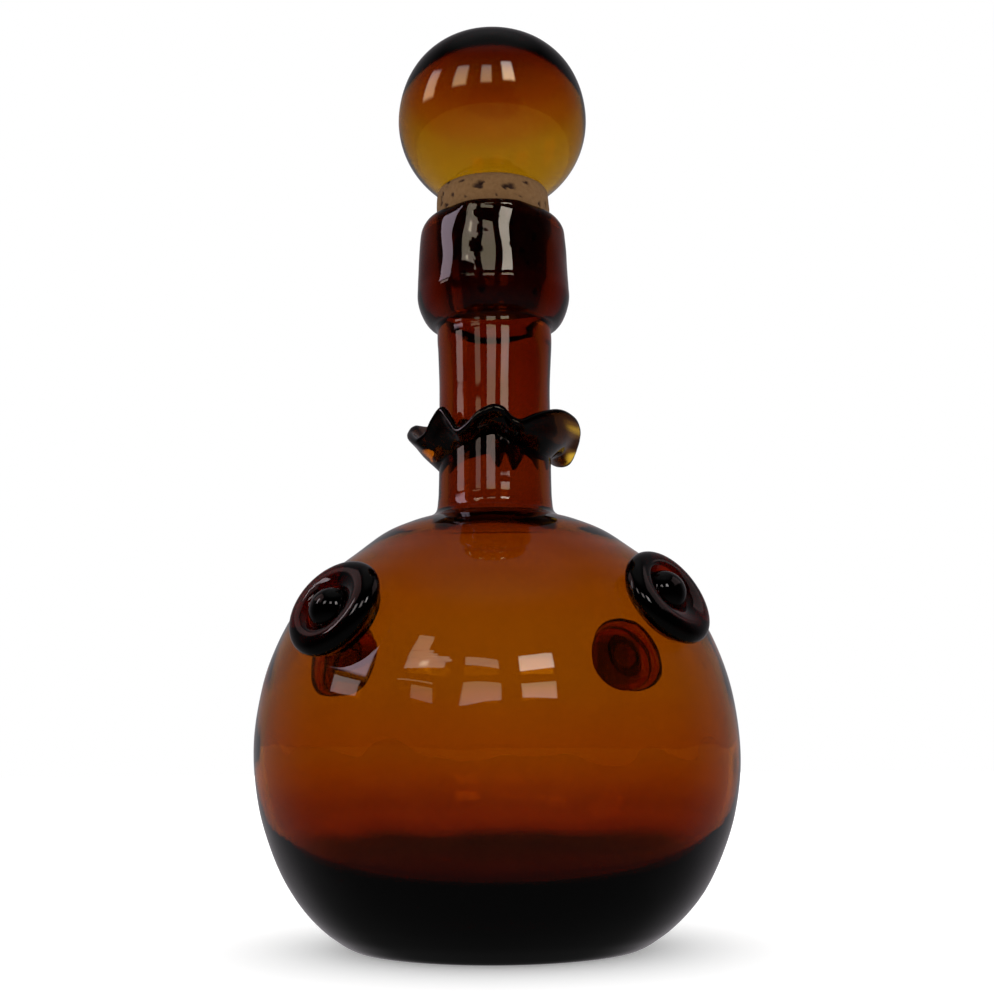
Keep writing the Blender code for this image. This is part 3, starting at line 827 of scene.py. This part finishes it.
def ruffle():
    edge = closed_curve([np.array([r * math.sin(math.radians(a)),
                                   -r * math.cos(math.radians(a)),
                                   z, root_z, half])
                         for a, r, z, root_z, half in RUFFLE], 480)
    root_r = 15.3
    rings = []
    for x, y, z, root_z, half in edge:
        az = math.atan2(x, -y)
        o = np.array([math.sin(az), -math.cos(az)])
        a = np.array([root_r + 0.6, root_z])
        b = np.array([math.hypot(x, y) - half * 0.8, z - half * 0.4])
        d = (b - a) / np.linalg.norm(b - a)
        nr = np.array([-d[1], d[0]])
        sec = [np.array([root_r, root_z - 2.9]),
               np.array([root_r + 0.55, root_z - 2.3]),
               a + (b - a) * 0.35 - nr * (half + 0.65),
               a + (b - a) * 0.7 - nr * (half + 0.25),
               b - nr * half]
        for q in (-60, -30, 0, 30, 60):
            c = math.radians(q)
            sec.append(b + half * (d * math.cos(c) + nr * math.sin(c)))
        sec += [b + nr * half,
                a + (b - a) * 0.7 + nr * (half + 0.2),
                a + (b - a) * 0.4 + nr * (half + 0.5),
                np.array([root_r + 0.55, root_z + 2.4]),
                np.array([root_r, root_z + 3.0])]
        for k in (2, 3, 11, 12):
            sec[k][0] = max(sec[k][0], root_r + 0.9)
        line = smooth_line(sec, 0.7)
        run = np.concatenate([[0], np.cumsum(np.linalg.norm(
            np.diff(line, axis=0), axis=1))])
        at = np.linspace(0, run[-1], 44)
        line = np.stack([np.interp(at, run, line[:, k]) for k in (0, 1)], 1)
        rings.append(np.stack([o[0] * line[:, 0], o[1] * line[:, 0],
                               line[:, 1]], 1))
    n, m = len(rings), len(rings[0])
    verts = (np.concatenate(rings) * MM).tolist()
    faces = []
    for i in range(n):
        j = (i + 1) % n
        for k in range(m):
            q = (k + 1) % m
            faces.append((i * m + k, j * m + k, j * m + q, i * m + q))
    ob = mesh_object("ruffle_collar_glass", verts, faces, thick)
    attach(ob, "bottle_body")
    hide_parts("ruffle_collar")
    return ob


frill = ruffle()

# ------------------------------------------------------- studio: floor, lamps
def floor():
    bpy.ops.mesh.primitive_circle_add(vertices=96, radius=3.0,
                                      fill_type="NGON",
                                      location=(0, 0, -0.0004))
    ob = bpy.context.object
    ob.name = "studio_floor"
    n = Nodes("studio_floor")
    n.set(Roughness=0.9)
    n.bsdf.inputs["Base Color"].default_value = (0.88, 0.88, 0.88, 1)
    n.bsdf.inputs["Specular IOR Level"].default_value = 0.0
    # its soft shadow is kept faint for the eye
    path = n.new("ShaderNodeLightPath")
    faint = n.new("ShaderNodeMath", operation="MULTIPLY")
    faint.inputs[1].default_value = 0.31
    n.link(path.outputs["Is Camera Ray"], faint.inputs[0])
    n.bsdf.inputs["Emission Color"].default_value = (1.0, 1.0, 1.0, 1.0)
    n.link(faint.outputs[0], n.bsdf.inputs["Emission Strength"])
    ob.data.materials.append(n.mat)
    ob.visible_glossy = False
    return ob


ground = floor()

def studio_world():
    """White all round for the eye and for matt things, a bright band up to
    35 degrees for what is seen through the glass, and a dim room with a
    dark side towards the viewer for what the glass mirrors."""
    world = bpy.data.worlds.new("studio_world")
    scene.world = world
    world.use_nodes = True
    world.cycles.sampling_method = "NONE"
    tree = world.node_tree
    tree.nodes.clear()

    def new(kind, **values):
        node = tree.nodes.new(kind)
        for key, value in values.items():
            setattr(node, key, value)
        return node

    def scale(value, lo, hi, to_lo, to_hi, kind="LINEAR"):
        node = new("ShaderNodeMapRange", interpolation_type=kind)
        for key, v in zip(("From Min", "From Max", "To Min", "To Max"),
                          (lo, hi, to_lo, to_hi)):
            node.inputs[key].default_value = v
        tree.links.new(value, node.inputs["Value"])
        return node.outputs["Result"]

    def gradient(value, stops):
        node = new("ShaderNodeValToRGB")
        els = node.color_ramp.elements
        while len(els) > 1:
            els.remove(els[-1])
        for i, (pos, c) in enumerate(stops):
            el = els[0] if i == 0 else els.new(pos)
            el.position = pos
            el.color = (*c, 1.0)
        tree.links.new(value, node.inputs["Fac"])
        return node.outputs["Color"]

    def blend(factor, a, b):
        node = new("ShaderNodeMix", data_type="RGBA")
        tree.links.new(factor, node.inputs["Factor"])
        for key, v in (("A", a), ("B", b)):
            if isinstance(v, tuple):
                node.inputs[key].default_value = (*v, 1.0)
            else:
                tree.links.new(v, node.inputs[key])
        return node.outputs["Result"]

    coord = new("ShaderNodeTexCoord")
    split = new("ShaderNodeSeparateXYZ")
    path = new("ShaderNodeLightPath")
    tree.links.new(coord.outputs["Generated"], split.inputs[0])
    up = scale(split.outputs["Z"], -1.0, 1.0, 0.0, 1.0)
    through = gradient(up, [(0.0, (1.12, 1.12, 1.12)),
                            (0.505, (1.12, 1.12, 1.12)),
                            (0.56, (1.06, 1.06, 1.06)),
                            (0.79, (1.06, 1.06, 1.06)),
                            (0.90, (0.35, 0.34, 0.35)),
                            (1.0, (0.22, 0.21, 0.22))])
    # the room that the glass mirrors: it brightens towards the far side,
    # fades downwards, a dim table shows below and a ceiling above
    ahead = scale(split.outputs["Y"], -1.0, 1.0, 0.0, 1.0)
    room = gradient(ahead, [((y + 1) / 2, (v, v * 0.94, v))
                            for y, v in ((-1.0, 0.007), (0.0, 0.008),
                                         (0.1, 0.017), (0.2, 0.028),
                                         (0.35, 0.054), (0.5, 0.088),
                                         (0.6, 0.118), (0.7, 0.15),
                                         (0.8, 0.185), (0.92, 0.25),
                                         (1.0, 0.29))])
    fade = scale(split.outputs["Z"], -0.75, -0.30, 0.0, 1.0, "SMOOTHSTEP")
    table = scale(split.outputs["Z"], -0.6, -0.1, 0.052, 0.0)
    dim = new("ShaderNodeVectorMath", operation="SCALE")
    tree.links.new(room, dim.inputs[0])
    tree.links.new(fade, dim.inputs["Scale"])
    ceiling = scale(split.outputs["Z"], 0.84, 0.98, 0.0, 0.075,
                    "SMOOTHSTEP")
    ends = new("ShaderNodeMath", operation="ADD")
    tree.links.new(table, ends.inputs[0])
    tree.links.new(ceiling, ends.inputs[1])
    both = new("ShaderNodeVectorMath", operation="ADD")
    tree.links.new(dim.outputs["Vector"], both.inputs[0])
    tree.links.new(ends.outputs[0], both.inputs[1])
    # what turns round inside the glass wall comes from all over the room
    within = gradient(ahead, [((y + 1) / 2, (v, v * 0.97, v))
                              for y, v in ((-1.0, 0.015), (0.0, 0.06),
                                           (0.3, 0.24), (0.6, 0.48),
                                           (1.0, 0.60))])
    mirror = blend(path.outputs["Transmission Depth"],
                   both.outputs["Vector"], within)
    seen = blend(path.outputs["Transmission Depth"], (1.0, 1.0, 1.0),
                 through)
    mirrored = blend(path.outputs["Glossy Depth"], seen, mirror)
    final = blend(path.outputs["Is Diffuse Ray"], mirrored,
                  (1.16, 1.16, 1.16))
    back = new("ShaderNodeBackground")
    out = new("ShaderNodeOutputWorld")
    tree.links.new(final, back.inputs["Color"])
    tree.links.new(back.outputs["Background"], out.inputs["Surface"])


studio_world()

lit = {}
for key, members in {"bottle_light": [bottle, frill],
                     "button_light": buttons,
                     "stopper_light": [ball]}.items():
    col = bpy.data.collections.new(key)
    for ob in members:
        col.objects.link(ob)
    lit[key] = col


def panel(name, azimuth, width, low, high, top, foot, group,
          soft=0.05, distance=0.64):
    """Upright soft panel that faces the decanter's axis; sizes in metres,
    width in degrees as seen from the axis, radiance at its top and foot as
    red, green, blue. soft is the share of each side that fades out."""
    a = math.radians(azimuth)
    w = 2 * distance * math.tan(math.radians(width / 2))
    h = high - low
    light = bpy.data.lights.new(name, "AREA")
    light.shape = "RECTANGLE"
    light.size, light.size_y = w, h
    light.energy = math.pi * w * h
    light.use_nodes = True
    tree = light.node_tree
    glow = tree.nodes["Emission"]

    def span(value, a, b, to_a, to_b, kind="LINEAR"):
        node = tree.nodes.new("ShaderNodeMapRange")
        node.interpolation_type = kind
        for key, v in zip(("From Min", "From Max", "To Min", "To Max"),
                          (a, b, to_a, to_b)):
            node.inputs[key].default_value = v
        tree.links.new(value, node.inputs["Value"])
        return node.outputs["Result"]

    def times(a, b):
        node = tree.nodes.new("ShaderNodeMath")
        node.operation = "MULTIPLY"
        tree.links.new(a, node.inputs[0])
        tree.links.new(b, node.inputs[1])
        return node.outputs[0]

    where = tree.nodes.new("ShaderNodeNewGeometry")
    split = tree.nodes.new("ShaderNodeSeparateXYZ")
    tree.links.new(where.outputs["Parametric"], split.inputs[0])
    edge = None
    for key in "XY":
        for start, end in ((0.0, soft), (1.0, 1.0 - soft)):
            part = span(split.outputs[key], start, end, 0.0, 1.0,
                        "SMOOTHSTEP")
            edge = part if edge is None else times(edge, part)
    tree.links.new(edge, glow.inputs["Strength"])
    mix = tree.nodes.new("ShaderNodeMix")
    mix.data_type = "RGBA"
    mix.inputs["A"].default_value = (*foot, 1.0)
    mix.inputs["B"].default_value = (*top, 1.0)
    tree.links.new(split.outputs["Y"], mix.inputs["Factor"])
    tree.links.new(mix.outputs["Result"], glow.inputs["Color"])
    ob = bpy.data.objects.new(name, light)
    scene.collection.objects.link(ob)
    place = Vector((distance * math.sin(a), -distance * math.cos(a),
                    (low + high) / 2))
    flat = Vector((-place.x, -place.y, 0.0))
    ob.rotation_euler = flat.to_track_quat("-Z", "Y").to_euler()
    ob.location = place
    ob.visible_camera = False
    ob.light_linking.receiver_collection = lit[group]
    return ob


# four tall windows with a cross bar, seen in the glass: azimuth and width
# in degrees, foot, top, radiance at the top and at the foot
WINDOWS = {
    "bottle_light": (0.05, [
        (-76.5, 24, 0.334, 0.70, (3.0, 2.5, 3.1), (3.4, 2.5, 2.9)),
        (-75, 17, 0.258, 0.319, (2.6, 2.0, 1.8), (2.4, 1.75, 1.7)),
        (-40.5, 10, 0.553, 0.67, (2.4, 2.0, 1.3), (2.5, 2.1, 1.5)),
        (-39, 13, 0.523, 0.555, (2.5, 2.1, 1.5), (2.6, 2.2, 1.6)),
        (-37.5, 16, 0.498, 0.525, (2.6, 2.2, 1.6), (2.7, 2.3, 1.7)),
        (-34.2, 22, 0.476, 0.500, (2.7, 2.3, 1.7), (2.8, 2.3, 1.8)),
        (-33.4, 23.6, 0.456, 0.478, (2.8, 2.3, 1.8), (2.9, 2.4, 1.9)),
        (-34.7, 21, 0.418, 0.458, (2.9, 2.4, 1.9), (3.0, 2.5, 2.0)),
        (-37.5, 19, 0.338, 0.347, (1.6, 1.3, 0.8), (1.6, 1.3, 0.8)),
        (-33.5, 11, 0.262, 0.322, (1.6, 1.3, 0.7), (1.5, 1.1, 1.0)),
        (-7, 18, 0.430, 0.500, (2.5, 2.1, 1.4), (2.6, 2.2, 1.7)),
        (-7, 18, 0.262, 0.345, (2.4, 1.95, 1.05), (2.7, 2.1, 1.9)),
        (20, 17, 0.418, 0.535, (6.6, 5.8, 4.7), (8.0, 7.0, 6.0)),
        (20, 17, 0.272, 0.348, (3.4, 2.9, 1.6), (4.1, 3.3, 3.0))]),
    "button_light": (0.12, [
        (-80, 9, 0.36, 0.70, (3.0, 2.8, 3.0), (3.2, 2.9, 3.1)),
        (-38, 13, 0.40, 0.62, (2.8, 2.6, 2.6), (3.0, 2.8, 2.8)),
        (-7, 13, 0.40, 0.60, (2.8, 2.6, 2.6), (3.0, 2.8, 2.8)),
        (20, 13, 0.40, 0.62, (4.8, 4.6, 4.6), (5.0, 4.8, 4.8)),
        (-88, 62, 0.44, 1.10, (0.36, 0.22, 0.22), (0.36, 0.22, 0.22)),
        (88, 62, 0.44, 1.10, (0.30, 0.22, 0.22), (0.30, 0.22, 0.22))]),
    "stopper_light": (0.16, [
        (-80, 19, 0.40, 0.86, (2.8, 2.2, 2.3), (5.0, 3.6, 2.2)),
        (-39, 20, 0.45, 0.90, (2.6, 2.2, 2.2), (4.8, 3.8, 2.1)),
        (-7, 15, 0.46, 0.88, (2.6, 2.4, 2.4), (4.2, 3.2, 1.9)),
        (20, 17, 0.50, 1.00, (6.0, 5.4, 5.4), (9.5, 7.8, 5.5))]),
}
for group, (soft, panes) in WINDOWS.items():
    for i, (az, width, low, high, top, foot) in enumerate(panes):
        panel(f"{group}_{i}", az, width, low, high, top, foot, group, soft)
# a lamp behind the second and the fourth window
panel("lamp_1", -35, 7, 0.420, 0.48, (5.0, 4.4, 3.2), (5.0, 4.4, 3.2),
      "bottle_light", 0.4)
panel("lamp_3", 20, 9, 0.44, 0.52, (8.0, 7.4, 5.4), (8.0, 7.4, 5.4),
      "bottle_light", 0.4)
